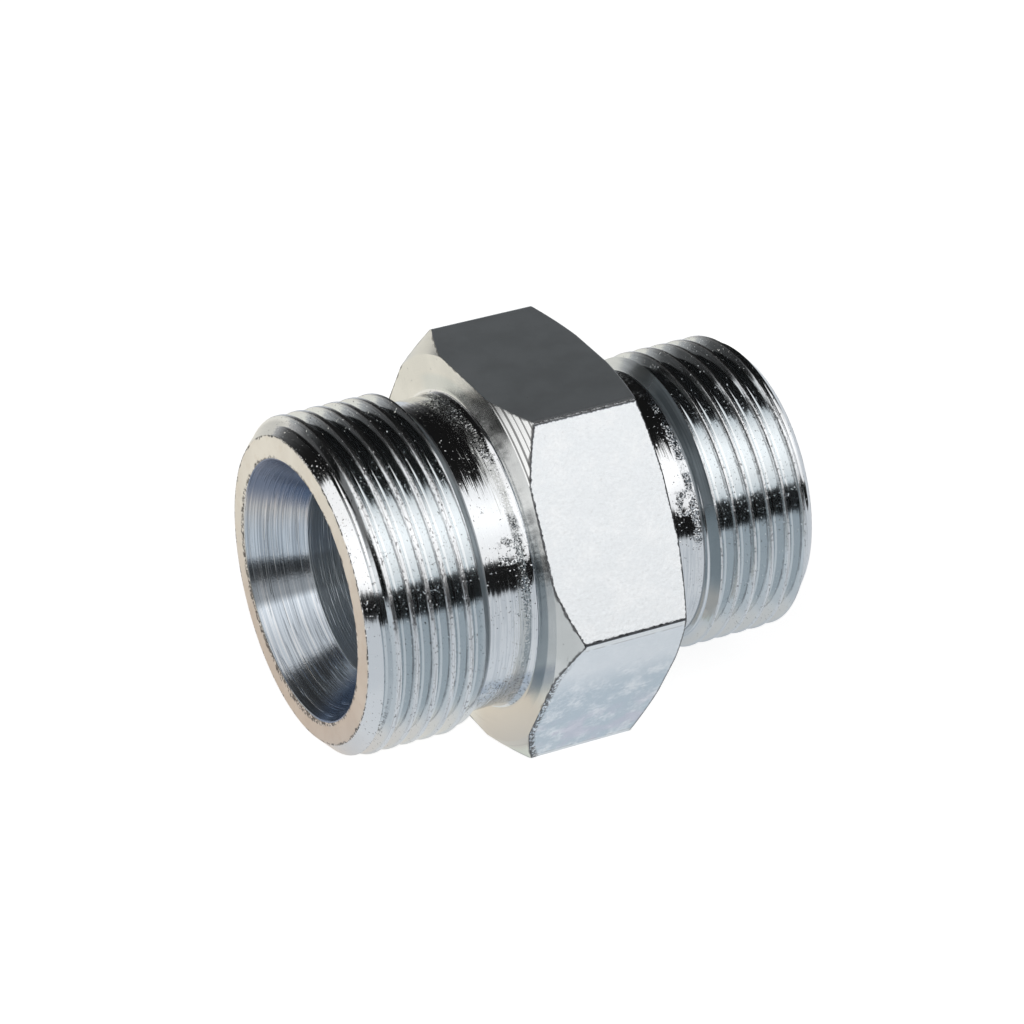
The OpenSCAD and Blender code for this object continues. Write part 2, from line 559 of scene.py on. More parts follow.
def on_side(tree, at, degrees, start, end, low=0.0, high=1.0):
    """Goes from low to high while the surface turns towards this side of the axis."""
    return rise(tree, turned_to(tree, at, degrees), start, end, low, high)


# %% [markdown]
# Two kinds of noise make nearly all marks: round blotches, and blotches that are drawn out round the
# axis, which look as if a tool had left them.

# %% Blotches and lathe marks
def spots(tree, at, size_mm, detail=2.0):
    """Noise with blotches of about this size."""
    inputs = {"Vector": at["place"], "Scale": 0.6 / size_mm, "Detail": detail}
    return add_node(tree, "ShaderNodeTexNoise", inputs).outputs["Fac"]


def drawn_out(tree, at, width_mm, length_mm, radial=1.37):
    """Places for a pattern that is drawn out round the axis. radial shifts it with the radius."""
    across = calc(tree, "MULTIPLY_ADD", at["radius"], radial, at["along"])
    across = times(tree, across, 0.6 / width_mm)
    ring = vector(tree, "SCALE", at["out"], scale=8.0 / length_mm)
    line = add_node(tree, "ShaderNodeCombineXYZ", {"X": across}).outputs[0]
    return vector(tree, "ADD", ring, line)


def lathe_marks(tree, at, width_mm, length_mm, radial=1.37, detail=2.0):
    """Noise whose blotches are marks of this width and length round the axis."""
    where = drawn_out(tree, at, width_mm, length_mm, radial)
    return add_node(tree, "ShaderNodeTexNoise", {"Vector": where, "Scale": 1.0, "Detail": detail}).outputs[0]


# %% [markdown]
# Polished metal shows the finest relief, because it mirrors whatever the surface is tilted to. Bumps
# serve for soft relief, and where the real surface is torn, the normal itself is tilted.

# %% Relief
def tilted(tree, normal, lean):
    """Turns the normal by adding a small vector to it."""
    return vector(tree, "NORMALIZE", vector(tree, "ADD", normal, lean))


def facets(tree, where, scale, normal, amount):
    """Breaks a surface into small facets, each tilted its own way, as in torn or pitted metal."""
    cells = add_node(tree, "ShaderNodeTexVoronoi", {"Vector": where, "Scale": scale}).outputs["Color"]
    lean = vector(tree, "SUBTRACT", cells, (0.5, 0.5, 0.5))
    return tilted(tree, normal, vector(tree, "SCALE", lean, scale=amount))


def bumps(tree, height, depth_mm, normal=None):
    """Small relief. Returns the new normal."""
    inputs = {"Strength": 1.0, "Distance": depth_mm / 1000, "Height": height}
    if normal is not None:
        inputs["Normal"] = normal
    return add_node(tree, "ShaderNodeBump", inputs).outputs["Normal"]


def chatter(tree, at, normal, amount):
    """Tilts the surface a little to and fro round the axis, as a tool that chatters does."""
    round_way = vector(tree, "CROSS_PRODUCT", (1, 0, 0), at["out"])
    return tilted(tree, normal, vector(tree, "SCALE", round_way, scale=amount))


# %% [markdown]
# The last helpers tell where the crests of a thread are, and lay colours over one another.

# %% Crests and colours
def from_crest(tree, at, first):
    """How far in millimetres the nearest crest of a thread is, and how far the last one is passed."""
    angle = calc(tree, "ARCTAN2", at["z"], at["y"])
    turns = calc(tree, "DIVIDE", calc(tree, "SUBTRACT", at["along"], first), PITCH)
    turns = calc(tree, "SUBTRACT", turns, calc(tree, "DIVIDE", angle, 2 * math.pi))
    passed = times(tree, calc(tree, "FRACT", turns), PITCH)
    return times(tree, calc(tree, "PINGPONG", turns, 0.5), PITCH), passed


def tinted(tree, amount, colour_a, colour_b):
    """The first colour of a finish: from one shade to another."""
    return mixed(tree, amount, (*colour_a, 1), (*colour_b, 1))


def mix_in(tree, colour, mask, colour_b, share=1.0):
    """Lays a second colour over the first where the mask is, up to this share."""
    return mixed(tree, times(tree, mask, share), colour, (*colour_b, 1))


def band(tree, value, low, high, soft):
    """1 between low and high, and 0 outside, with soft ends."""
    over = rise(tree, value, low - soft, low + soft)
    return times(tree, over, rise(tree, value, high + soft, high - soft))


# %% [markdown]
# ## Turned and threaded surfaces
# Necks and threads come bright from the tool, so they mirror the room nearly sharply. What tells them
# from chrome is how uneven they are. Crests are rough where the thread die tore them, and the last
# stretch of each neck is pitted. These places come first, as masks: the crests from the helix that
# cut the thread, and the pits from bands along the axis, broken up by noise.

# %% Places on the turned zinc
turned, tree, shader = new_finish("turned_zinc")
at = place_on_part(tree)
large_crest, past_large = from_crest(tree, at, LARGE_CREST)
small_crest, past_small = from_crest(tree, at, SMALL_CREST)
at_large = times(tree, rise(tree, at["along"], 9.3, 8.9), rise(tree, at["along"], 1.15, 1.4))
at_small = times(tree, rise(tree, at["along"], 29.9, 30.3), rise(tree, at["along"], 38.1, 37.8))
crest_near = times(tree, rise(tree, large_crest, 0.30, 0.14), at_large)
crest_far = times(tree, rise(tree, small_crest, 0.22, 0.08), at_small)
crest = calc(tree, "MAXIMUM", crest_near, crest_far)
near_pits = band(tree, at["along"], 12.98, 13.66, 0.16)
far_pits = band(tree, at["along"], 28.65, 29.25, 0.15)
pitted = calc(tree, "MAXIMUM", near_pits, far_pits)
on_dark = on_side(tree, at, -58.0, 0.966, 0.985)
on_dark = calc(tree, "MAXIMUM", on_dark, on_side(tree, at, 4.0, 0.9945, 0.998))
wider = band(tree, at["along"], 11.9, 13.6, 0.6)
wider = calc(tree, "MAXIMUM", wider, band(tree, at["along"], 27.6, 29.2, 0.5))
sparse = rise(tree, spots(tree, at, 0.4, detail=3.0), 0.47, 0.55, 0.0, 0.9)
wider = times(tree, wider, on_dark, sparse)
patchy = rise(tree, spots(tree, at, 0.9, detail=3.0), 0.42, 0.55)
pitted = times(tree, pitted, calc(tree, "MULTIPLY_ADD", patchy, 0.75, 0.25))
worn_off = on_side(tree, at, 62.0, 0.70, 0.86, 0.0, 0.85)
pitted = times(tree, pitted, calc(tree, "SUBTRACT", 1.0, worn_off))
pitted = calc(tree, "MAXIMUM", pitted, wider)
on_neck = band(tree, at["along"], 9.9, SHOULDER, 0.1)
on_neck = calc(tree, "MAXIMUM", on_neck, band(tree, at["along"], LENGTH - SHOULDER, 29.5, 0.1))
torn_crest = times(tree, crest, on_side(tree, at, 0.0, 0.30, 0.60, 0.25, 1.0))
print("places on the turned zinc:", len(tree.nodes), "nodes")

# %% [markdown]
# The relief does most of the work. Each tool mark tilts the surface a little, which makes the edge
# between a dark and a light stripe ragged. Pits, dents and torn crests are small facets that each
# look another way, so they sparkle in the dark stripes and show dark in the light ones. A bump map
# alone would be too weak for that.

# %% Relief of the turned zinc
fine_marks = lathe_marks(tree, at, 0.09, 5.0)
coarse_marks = lathe_marks(tree, at, 0.14, 1.6, detail=1.0)
grit = spots(tree, at, 0.085, detail=1.0)
marked = calc(tree, "MULTIPLY_ADD", on_neck, 0.8, 0.2)
marked = times(tree, marked, rise(tree, lathe_marks(tree, at, 0.5, 3.0), 0.36, 0.60))
normal = bumps(tree, times(tree, fine_marks, marked), 0.022)
normal = bumps(tree, times(tree, grit, pitted), 0.03, normal)
tilt = calc(tree, "SUBTRACT", coarse_marks, 0.5)
restless = on_side(tree, at, -45.0, 0.60, 0.92, 0.035, 0.085)
restless = times(tree, restless, on_side(tree, at, -85.0, 0.985, 0.90, 0.15, 1.0))
sway = calc(tree, "MULTIPLY_ADD", torn_crest, 0.03, restless)
normal = chatter(tree, at, normal, times(tree, tilt, sway))
normal = facets(tree, at["place"], 10.0, normal, times(tree, pitted, 0.9))
dents = rise(tree, spots(tree, at, 0.12, detail=1.0), 0.665, 0.71)
normal = facets(tree, at["place"], 8.0, normal, times(tree, dents, 0.75))
torn_places = drawn_out(tree, at, 0.12, 0.25)
normal = facets(tree, torn_places, 1.7, normal, times(tree, torn_crest, 0.045))
tree.links.new(normal, shader.inputs["Normal"])
print("with relief:", len(tree.nodes), "nodes")

# %% [markdown]
# Zinc is nearly colourless, so the colours here are close greys. The flanks of the thread are the
# exception: they are cooler than the crests, and round the axis they carry painted light: a painted
# highlight on the side that faces the light, painted shade lower down and a painted warm reflection
# of the table at the bottom.

# %% Colour of the threads
cloud = spots(tree, at, 2.5, detail=3.0)
colour = tinted(tree, rise(tree, cloud, 0.35, 0.65), (0.77, 0.79, 0.81), (0.84, 0.85, 0.86))
on_thread = calc(tree, "MAXIMUM", at_large, at_small)
flank = times(tree, on_thread, calc(tree, "SUBTRACT", 1.0, crest))
colour = mix_in(tree, colour, flank, (0.72, 0.765, 0.79), 0.9)
# painted highlight: the flanks are lighter on the side that faces the light
middle = on_side(tree, at, -9.0, 0.960, 0.996)
colour = mix_in(tree, colour, times(tree, flank, middle), (0.83, 0.86, 0.875))
# painted shade: the flanks are darker lower down
low = on_side(tree, at, 38.0, 0.88, 0.95)
colour = mix_in(tree, colour, times(tree, flank, low), (0.645, 0.69, 0.715))
# painted warm reflection of the table on the flanks at the bottom
flank_warm_reflection = on_side(tree, at, 98.0, 0.76, 0.90)
colour = mix_in(tree, colour, times(tree, flank, flank_warm_reflection), (0.82, 0.81, 0.78))
print("with the threads' colour:", len(tree.nodes), "nodes")

# %% [markdown]
# Then comes what the tools left, each as a darker colour in its own place: dirt specks, tears and
# scores on the crests, the edge where the die stopped and the hollows of the pits. Painted light
# goes in here too: a painted shadow as a dark line beside each crest, pits painted darker on the
# side that faces the light, and a painted dark reflection on the edge where the thread starts.

# %% Wear and painted light of the turned zinc
specks = times(tree, rise(tree, spots(tree, at, 0.13), 0.66, 0.72), rise(tree, cloud, 0.45, 0.6))
colour = mix_in(tree, colour, specks, (0.05, 0.05, 0.05), 0.7)
torn = times(tree, rise(tree, lathe_marks(tree, at, 0.12, 0.20), 0.58, 0.66), torn_crest)
colour = mix_in(tree, colour, torn, (0.10, 0.10, 0.105), 0.7)
scored = times(tree, rise(tree, lathe_marks(tree, at, 0.06, 2.5), 0.50, 0.60), torn_crest)
colour = mix_in(tree, colour, scored, (0.35, 0.36, 0.37), 0.5)
# painted shadow: a dark line beside each crest
shadow = times(tree, band(tree, past_large, 0.20, 0.27, 0.03), at_large)
shadow_far = times(tree, band(tree, past_small, 0.13, 0.19, 0.03), at_small)
shadow = calc(tree, "MAXIMUM", shadow, shadow_far)
shadow = times(tree, shadow, rise(tree, lathe_marks(tree, at, 0.3, 1.5), 0.35, 0.5, 0.35, 0.8))
colour = mix_in(tree, colour, shadow, (0.12, 0.12, 0.125))
die_stop = band(tree, at["along"], 9.9, 10.13, 0.03)
die_stop = calc(tree, "MAXIMUM", die_stop, band(tree, at["along"], 29.35, 29.6, 0.05))
colour = mix_in(tree, colour, die_stop, (0.22, 0.25, 0.27), 0.8)
# painted shade: the pits are darker on the side that faces the light
in_light = on_side(tree, at, -18.0, 0.90, 0.97, 0.1, 0.5)
colour = mix_in(tree, colour, times(tree, pitted, in_light), (0.34, 0.35, 0.37))
hollow = times(tree, rise(tree, grit, 0.54, 0.45), pitted)
colour = mix_in(tree, colour, hollow, (0.10, 0.11, 0.12), 0.75)
# painted dark reflection: the edge where the thread starts is near black on the upper side, where it mirrors
# the dark
start = on_side(tree, at, -30.0, 0.86, 0.96)
start = times(tree, band(tree, at["along"], 1.26, 1.55, 0.05), start)
colour = mix_in(tree, colour, start, (0.04, 0.04, 0.04), 0.85)
print("with wear:", len(tree.nodes), "nodes")

# %% [markdown]
# The plating itself is stained in a few places: the near chamfer is dull at the top, the near neck is
# bluish and sooty underneath, and dark burrs cling to the start of the thread. The roughness then
# follows the same masks.

# %% Stains of the turned zinc
behind = times(tree, rise(tree, at["along"], 1.3, 1.1), on_side(tree, at, -100.0, 0.85, 0.97))
colour = mix_in(tree, colour, behind, (0.42, 0.44, 0.46), 0.7)
bluish = on_side(tree, at, 70.0, 0.960, 0.985)
bluish = times(tree, band(tree, at["along"], 9.9, 14.2, 0.3), bluish)
cloudy = times(tree, bluish, rise(tree, spots(tree, at, 0.5, detail=4.0), 0.30, 0.55, 0.4, 0.85))
colour = mix_in(tree, colour, cloudy, (0.44, 0.51, 0.60))
sooty = times(tree, bluish, rise(tree, spots(tree, at, 0.10, detail=1.0), 0.57, 0.63))
colour = mix_in(tree, colour, sooty, (0.05, 0.05, 0.055), 0.85)
streaky = times(tree, on_neck, on_side(tree, at, 38.0, 0.90, 0.97))
streaky = times(tree, streaky, rise(tree, lathe_marks(tree, at, 0.10, 3.0), 0.46, 0.62))
colour = mix_in(tree, colour, streaky, (0.55, 0.59, 0.63), 0.45)
burred = times(tree, band(tree, at["along"], 1.0, 1.6, 0.1), on_side(tree, at, 72.0, 0.92, 0.98))
burred = times(tree, burred, rise(tree, spots(tree, at, 0.15), 0.54, 0.60))
colour = mix_in(tree, colour, burred, (0.06, 0.055, 0.05), 0.9)
tree.links.new(colour, shader.inputs["Base Color"])
roughness = calc(tree, "MULTIPLY_ADD", fine_marks, 0.07, 0.07)
roughness = calc(tree, "MULTIPLY_ADD", crest, 0.12, roughness)
roughness = calc(tree, "MULTIPLY_ADD", pitted, 0.04, roughness)
roughness = calc(tree, "MULTIPLY_ADD", die_stop, 0.3, roughness)
tree.links.new(roughness, shader.inputs["Roughness"])
print("turned zinc:", len(tree.nodes), "nodes")

# %% [markdown]
# ## The end of the thread
# The slope at the end of each thread is where the die stopped. It is duller and darker than all the
# rest, because the plating hardly brightens such a torn surface. Only some stretches of it are clean
# enough to shine.

# %% Dull run-out
dull, tree, shader = new_finish("dull_runout")
at = place_on_part(tree)
marks = lathe_marks(tree, at, 0.12, 5.0, radial=0.4)
tree.links.new(bumps(tree, marks, 0.006), shader.inputs["Normal"])
colour = tinted(tree, rise(tree, marks, 0.3, 0.7), (0.195, 0.23, 0.255), (0.37, 0.42, 0.46))
at_far = rise(tree, at["along"], 19.0, 20.0)
near_clean = on_side(tree, at, 5.0, 0.62, 0.42)
far_clean = times(tree, on_side(tree, at, -22.0, 0.94, 0.80), at_far)
near_clean = times(tree, near_clean, calc(tree, "SUBTRACT", 1.0, at_far))
cleaner = calc(tree, "MAXIMUM", near_clean, far_clean)
colour = mix_in(tree, colour, cleaner, (0.72, 0.76, 0.79), 0.85)
tree.links.new(colour, shader.inputs["Base Color"])
tree.links.new(rise(tree, cleaner, 0.0, 1.0, 0.8, 1.0), shader.inputs["Metallic"])
tree.links.new(rise(tree, cleaner, 0.0, 0.9, 0.38, 0.16), shader.inputs["Roughness"])
print("dull run-out:", len(tree.nodes), "nodes")

# %% [markdown]
# ## The hexagon's flats
# The flats are the drawn skin of the bar, which no tool has touched. Round each flat runs an edge that
# is dark and ragged. To draw it, a finish must know how far it is from the edge, and that follows
# from the shape: the six planes of the bar, and the two cones of the bevels.

# %% Distances on the hexagon
FLAT_PLACE = HEX_AF / 2


def hexagon_reach(tree, at):
    """The distances to the nearest and the next flat's planes, measured from the axis."""
    reach = []
    for degrees in (90, 30, 150):
        turn = math.radians(degrees)
        part = times(tree, at["z"], math.sin(turn))
        part = calc(tree, "MULTIPLY_ADD", at["y"], math.cos(turn), part)
        reach.append(calc(tree, "ABSOLUTE", part))
    first = calc(tree, "MAXIMUM", calc(tree, "MAXIMUM", reach[0], reach[1]), reach[2])
    last = calc(tree, "MINIMUM", calc(tree, "MINIMUM", reach[0], reach[1]), reach[2])
    total = calc(tree, "ADD", calc(tree, "ADD", reach[0], reach[1]), reach[2])
    return first, calc(tree, "SUBTRACT", calc(tree, "SUBTRACT", total, first), last)


def bevel_gap(tree, at, end, shoulder, way):
    """How far a place on a flat is from the bevel at one end."""
    slope = math.radians(end["bevel_deg"])
    rim = calc(tree, "MAXIMUM", calc(tree, "SUBTRACT", at["radius"], end["shoulder_r"]), 0.0)
    depth = times(tree, calc(tree, "SUBTRACT", at["along"], shoulder), way)
    depth = calc(tree, "MULTIPLY_ADD", rim, -math.tan(slope), depth)
    return times(tree, depth, math.cos(slope))


# %% [markdown]
# Where those distances are small, noise decides whether the edge is chipped. The chips are worst at
# the large end's lower edge, where loose flecks lie beside it too.

# %% Edges of the drawn zinc
drawn, tree, shader = new_finish("drawn_zinc")
at = place_on_part(tree)
first, second = hexagon_reach(tree, at)
corner_gap = calc(tree, "DIVIDE", calc(tree, "SUBTRACT", FLAT_PLACE, second), math.sin(math.radians(60)))
large_gap = bevel_gap(tree, at, LARGE_END, SHOULDER, 1.0)
small_gap = bevel_gap(tree, at, SMALL_END, LENGTH - SHOULDER, -1.0)
faces_up = add_node(tree, "ShaderNodeNewGeometry").outputs["Normal"]
faces_up = add_node(tree, "ShaderNodeSeparateXYZ", {0: faces_up}).outputs["Z"]
lower_flat = rise(tree, faces_up, -0.02, -0.30)
line_gap = calc(tree, "MULTIPLY_ADD", lower_flat, 5.0, calc(tree, "SUBTRACT", corner_gap, 0.16))
gap = calc(tree, "MINIMUM", calc(tree, "MINIMUM", line_gap, small_gap), large_gap)
under = times(tree, rise(tree, at["z"], -1.0, -5.0), rise(tree, large_gap, 1.2, 0.6))
chip_noise = spots(tree, at, 0.15, detail=3.0)
wander = calc(tree, "MULTIPLY_ADD", under, 0.40, 0.22)
wander = times(tree, calc(tree, "SUBTRACT", 0.5, chip_noise), wander)
chips = rise(tree, calc(tree, "ADD", wander, gap), 0.13, 0.05)
flecks = rise(tree, spots(tree, at, 0.13, detail=1.0), 0.46, 0.52)
near_edge = rise(tree, large_gap, 0.52, 0.30)
flecks = times(tree, flecks, near_edge, under)
chips = calc(tree, "MAXIMUM", chips, flecks)
chips = times(tree, chips, rise(tree, faces_up, 0.95, 0.7))
print("edges of the drawn zinc:", len(tree.nodes), "nodes")

# %% [markdown]
# The skin is finely grained and blurs what it mirrors. Along the bevels the edge is a little worn,
# so the normal is turned towards the bevel there and catches another light.

# %% Relief of the drawn zinc
grain = spots(tree, at, 0.16, detail=3.0)
ripple = spots(tree, at, 1.8, detail=2.0)
normal = bumps(tree, grain, 0.006)
normal = bumps(tree, ripple, 0.010, normal)
normal = bumps(tree, times(tree, chips, spots(tree, at, 0.2)), 0.09, normal)
worn_edge = calc(tree, "SUBTRACT", rise(tree, small_gap, 0.10, 0.04), rise(tree, large_gap, 0.10, 0.04))
worn_edge = add_node(tree, "ShaderNodeCombineXYZ", {"X": times(tree, worn_edge, 0.45)}).outputs[0]
normal = tilted(tree, normal, worn_edge)
tree.links.new(normal, shader.inputs["Normal"])
print("with relief:", len(tree.nodes), "nodes")

# %% [markdown]
# The colour differs from flat to flat. The lower ones are stained grey-blue with a touch of violet,
# with a clean strip and a rusty line along the corner. The one that faces up is smoky, and painted
# shade darkens it towards the front. All are masks again, from the height, the noise and the way a
# face looks.

# %% Colour of the drawn zinc
brushed = calc(tree, "MULTIPLY_ADD", spots(tree, at, 0.22, detail=4.0), 0.6, spots(tree, at, 1.1, detail=6.0))
stain = rise(tree, brushed, 0.52, 0.92)
low_side = rise(tree, at["z"], -3.0, -7.5, 0.15, 1.0)
stain = times(tree, stain, low_side)
colour = tinted(tree, stain, (0.93, 0.95, 0.965), (0.60, 0.68, 0.74))
violet = rise(tree, spots(tree, at, 1.3, detail=6.0), 0.46, 0.62)
violet = times(tree, violet, rise(tree, at["z"], -8.5, -12.0))
colour = mix_in(tree, colour, violet, (0.72, 0.68, 0.78), 0.55)
sandy = rise(tree, spots(tree, at, 0.12, detail=1.0), 0.40, 0.62)
colour = mix_in(tree, colour, sandy, (0.70, 0.71, 0.73), 0.10)
upwards = rise(tree, faces_up, 0.9, 0.99)
colour = mix_in(tree, colour, upwards, (0.89, 0.955, 1.0))
smoke_and_shade = rise(tree, spots(tree, at, 1.8, detail=4.0), 0.35, 0.65, 0.0, 0.14)
# painted shade: darker towards the front edge, on top of the smoky mottling
smoke_and_shade = calc(tree, "ADD", smoke_and_shade, rise(tree, at["y"], 3.0, -9.0, 0.0, 0.14))
smoke_and_shade = times(tree, smoke_and_shade, upwards)
colour = mix_in(tree, colour, smoke_and_shade, (0.34, 0.36, 0.38))
dusty = times(tree, rise(tree, spots(tree, at, 2.2, detail=3.0), 0.30, 0.70, 0.7, 1.0), upwards)
strip = times(tree, lower_flat, rise(tree, corner_gap, 0.62, 0.45))
colour = mix_in(tree, colour, strip, (0.93, 0.93, 0.92), 0.8)
rust = times(tree, lower_flat, band(tree, corner_gap, 0.60, 0.70, 0.04))
rust = times(tree, rust, rise(tree, spots(tree, at, 0.5, detail=3.0), 0.42, 0.56, 0.0, 0.6))
colour = mix_in(tree, colour, rust, (0.42, 0.39, 0.37))
pits = rise(tree, spots(tree, at, 0.14), 0.68, 0.74)
colour = mix_in(tree, colour, pits, (0.4, 0.4, 0.4), 0.18)
colour = mix_in(tree, colour, chips, (0.06, 0.06, 0.065), 0.95)
tree.links.new(colour, shader.inputs["Base Color"])
roughness = calc(tree, "MULTIPLY_ADD", grain, 0.12, 0.17)
roughness = calc(tree, "MULTIPLY_ADD", dusty, 0.10, roughness)
tree.links.new(roughness, shader.inputs["Roughness"])
shader.inputs["Metallic"].default_value = 0.86
print("drawn zinc:", len(tree.nodes), "nodes")

# %% [markdown]
# ## Faced surfaces
# The shoulders were cut by a tool that moved towards the axis, so their marks are rings, and they are
# bright enough to mirror the neck in front of them. The bevels on the corners show a few deep
# grooves where the tool entered the bar.

# %% Relief and base of the faced zinc
faced, tree, shader = new_finish("faced_zinc")
at = place_on_part(tree)
rings = lathe_marks(tree, at, 0.12, 14.0, radial=1.0)
normal = bumps(tree, rings, 0.0022)
tree.links.new(normal, shader.inputs["Normal"])
first, _ = hexagon_reach(tree, at)
rim_gap = calc(tree, "SUBTRACT", FLAT_PLACE, first)
wander = calc(tree, "SUBTRACT", spots(tree, at, 0.4, detail=3.0), 0.5)
ragged = calc(tree, "MULTIPLY_ADD", wander, -0.45, rim_gap)
outer_line = rise(tree, ragged, 0.12, 0.0)
cloud = spots(tree, at, 2.2, detail=3.0)
colour = tinted(tree, rise(tree, cloud, 0.35, 0.65), (0.73, 0.735, 0.71), (0.81, 0.81, 0.785))
bevelled = rise(tree, at["radius"], 15.3, 15.5)
greenish = times(tree, bevelled, rise(tree, at["z"], -8.0, -13.0))
colour = mix_in(tree, colour, greenish, (0.86, 0.88, 0.72), 0.6)
upper = times(tree, bevelled, on_side(tree, at, -27.0, 0.90, 0.96))
colour = mix_in(tree, colour, upper, (0.88, 0.89, 0.88))
grooves = calc(tree, "SINE", times(tree, at["radius"], 2 * math.pi / 0.36))
grooves = calc(tree, "MULTIPLY_ADD", lathe_marks(tree, at, 0.3, 14.0, radial=1.0), 3.0, grooves)
grooves = times(tree, rise(tree, grooves, 2.0, 2.5), upper)
colour = mix_in(tree, colour, grooves, (0.06, 0.06, 0.06), 0.75)
specks = rise(tree, spots(tree, at, 0.22), 0.70, 0.76)
colour = mix_in(tree, colour, specks, (0.2, 0.2, 0.2), 0.6)
colour = mix_in(tree, colour, outer_line, (0.08, 0.08, 0.08), 0.85)
print("base of the faced zinc:", len(tree.nodes), "nodes")

# %% [markdown]
# The shoulder's colours lie on one side each, as painted reflections: peach with brown arcs at the
# bottom, where the table is mirrored, dark in front, close to the neck, and a trace of teal at the top.

# %% Painted reflections on the faced zinc
# painted warm reflection of the table at the bottom of the shoulder
peach_reflection = times(tree, on_side(tree, at, 88.0, 0.84, 0.95), rise(tree, at["radius"], 16.6, 15.8))
colour = mix_in(tree, colour, peach_reflection, (0.71, 0.655, 0.59), 0.9)
arcs = rise(tree, lathe_marks(tree, at, 0.16, 9.0, radial=1.0), 0.60, 0.68)
colour = mix_in(tree, colour, times(tree, arcs, peach_reflection), (0.40, 0.36, 0.31), 0.35)
front = add_node(tree, "ShaderNodeSeparateXYZ", {0: at["out"]}).outputs["Y"]
# painted dark reflection in front, close to the neck
stain = times(tree, rise(tree, front, -0.80, -0.95), rise(tree, at["radius"], 14.25, 13.95))
colour = mix_in(tree, colour, stain, (0.28, 0.335, 0.36), 0.8)
# painted teal reflection at the top, close to the neck
teal_reflection = times(tree, on_side(tree, at, -72.0, 0.93, 0.98), rise(tree, at["radius"], 14.2, 13.6))
colour = mix_in(tree, colour, teal_reflection, (0.42, 0.53, 0.58), 0.25)
tree.links.new(colour, shader.inputs["Base Color"])
roughness = calc(tree, "MULTIPLY_ADD", rings, 0.10, 0.20)
tree.links.new(roughness, shader.inputs["Roughness"])
print("faced zinc:", len(tree.nodes), "nodes")

# %% [markdown]
# ## End faces
# The two end faces are finer ground than the shoulders. They look away from the bright light and
# mirror the table, so they are cream. Both of their edges carry small dark burrs: the distance to
# the edge is shifted by noise, and where it is short the surface breaks up into facets.

# %% Edges of the end faces
ended, tree, shader = new_finish("end_face_zinc")
at = place_on_part(tree)
rings = lathe_marks(tree, at, 0.14, 10.0, radial=1.0)
grain = spots(tree, at, 0.2, detail=3.0)
normal = bumps(tree, rings, 0.003)
normal = bumps(tree, grain, 0.004, normal)
near_end = rise(tree, at["along"], 20.0, 19.0)
wider_rim = LARGE_END["face_r"] - SMALL_END["face_r"]
wider_mouth = LARGE_END["mouth_r"] - SMALL_END["mouth_r"]
rim = calc(tree, "MULTIPLY_ADD", near_end, wider_rim, SMALL_END["face_r"])
mouth = calc(tree, "MULTIPLY_ADD", near_end, wider_mouth, SMALL_END["mouth_r"])
wander = calc(tree, "SUBTRACT", spots(tree, at, 0.5, detail=3.0), 0.5)
outer_gap = calc(tree, "MULTIPLY_ADD", wander, -0.7, calc(tree, "SUBTRACT", rim, at["radius"]))
inner_gap = calc(tree, "MULTIPLY_ADD", wander, 0.9, calc(tree, "SUBTRACT", at["radius"], mouth))
torn_side = on_side(tree, at, 170.0, 0.0, 0.6, 0.0, 0.38)
inner_gap = calc(tree, "SUBTRACT", inner_gap, torn_side)
flecks = rise(tree, spots(tree, at, 0.13, detail=1.0), 0.44, 0.51)
burr = calc(tree, "MAXIMUM", rise(tree, outer_gap, 0.20, 0.04), rise(tree, inner_gap, 0.28, 0.08))
normal = facets(tree, at["place"], 8.0, normal, times(tree, burr, 0.9))
tree.links.new(normal, shader.inputs["Normal"])
print("edges of the end faces:", len(tree.nodes), "nodes")

# %% [markdown]
# Their colour is warm and slightly mottled, and painted shade makes the bottom of the near one
# darker and browner. The burrs are paler than the face, with dark flecks between them.

# %% Colour of the end faces
cloud = rise(tree, spots(tree, at, 2.0, detail=3.0), 0.35, 0.65)
colour = tinted(tree, cloud, (0.75, 0.725, 0.685), (0.81, 0.79, 0.75))
mottle = rise(tree, spots(tree, at, 0.9, detail=4.0), 0.52, 0.62)
colour = mix_in(tree, colour, mottle, (0.68, 0.62, 0.55), 0.25)
# painted shade: the near end face is darker and browner at the bottom
shaded_bottom = times(tree, on_side(tree, at, 95.0, 0.70, 0.95), near_end)
colour = mix_in(tree, colour, shaded_bottom, (0.66, 0.60, 0.555), 0.4)
colour = mix_in(tree, colour, burr, (0.88, 0.89, 0.90), 0.5)
dark = times(tree, burr, flecks)
colour = mix_in(tree, colour, dark, (0.05, 0.05, 0.05), 0.9)
tree.links.new(colour, shader.inputs["Base Color"])
roughness = calc(tree, "MULTIPLY_ADD", grain, 0.12, 0.24)
tree.links.new(roughness, shader.inputs["Roughness"])
print("end face zinc:", len(tree.nodes), "nodes")

# %% [markdown]
# ## The bore
# The cones were bored with a coarse feed, which leaves bright lines that run round the bore. The
# plating is thin and bluish in there. A painted navy reflection lies at the top and the bottom, where
# the walls mirror each other, and painted shade darkens the top, the bottom and the back wall. The
# straight bore behind the cones is rougher and greyer.

